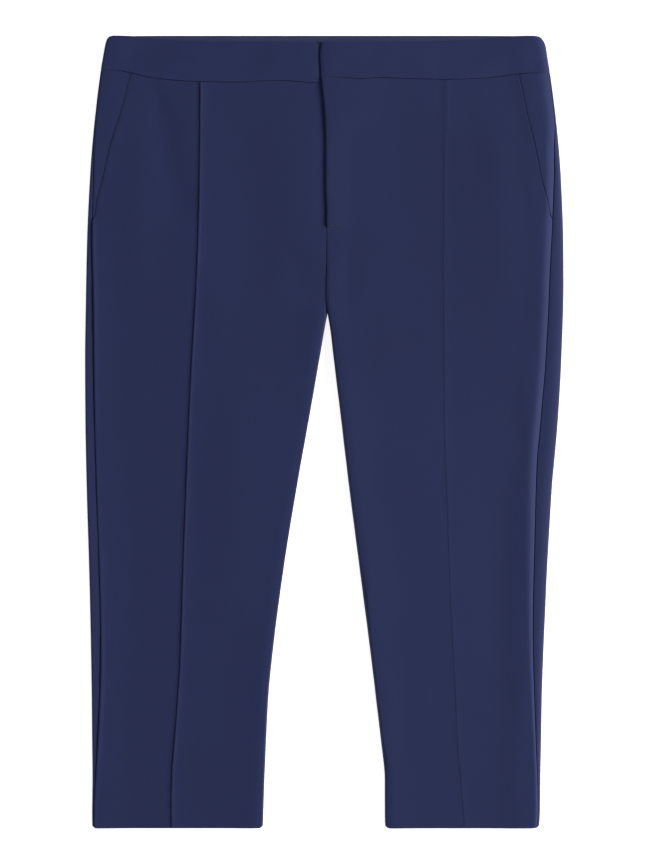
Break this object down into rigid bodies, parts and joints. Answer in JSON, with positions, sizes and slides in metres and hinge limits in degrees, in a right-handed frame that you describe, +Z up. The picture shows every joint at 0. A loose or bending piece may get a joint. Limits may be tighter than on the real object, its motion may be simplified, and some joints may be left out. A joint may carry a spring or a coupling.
{
  "type": "capri pants",
  "caption": "Tailored capri pants laid flat front up, with a pin tuck down each leg, slant pockets, a plain contoured waistband and a lapped zip fly.",
  "frame": {"origin": "on the surface the garment lies on, under the middle of its bounding box", "axes": "+Y towards the waist, +X towards the wearer's left, +Z up out of the front of the garment"},
  "size_m": [0.502, 0.832, 0.0085],
  "materials": {
    "navy_cloth": "smooth matte navy stretch suiting",
    "waistband_cloth": "the same navy cloth, folded double and interfaced",
    "zip_tape": "navy woven tape with closed nylon teeth",
    "hook_steel": "satin"
  },
  "bodies": {
    "root": {"front_right_leg": "navy_cloth", "front_left_leg": "navy_cloth", "back_right_leg": "navy_cloth", "back_left_leg": "navy_cloth", "hip_piece_right": "navy_cloth", "hip_piece_left": "navy_cloth", "waistband_front_right": "waistband_cloth", "waistband_front_left": "waistband_cloth", "waistband_back": "waistband_cloth", "fly_zip": "zip_tape", "waist_hook": "hook_steel"}
  },
  "joints": []
}
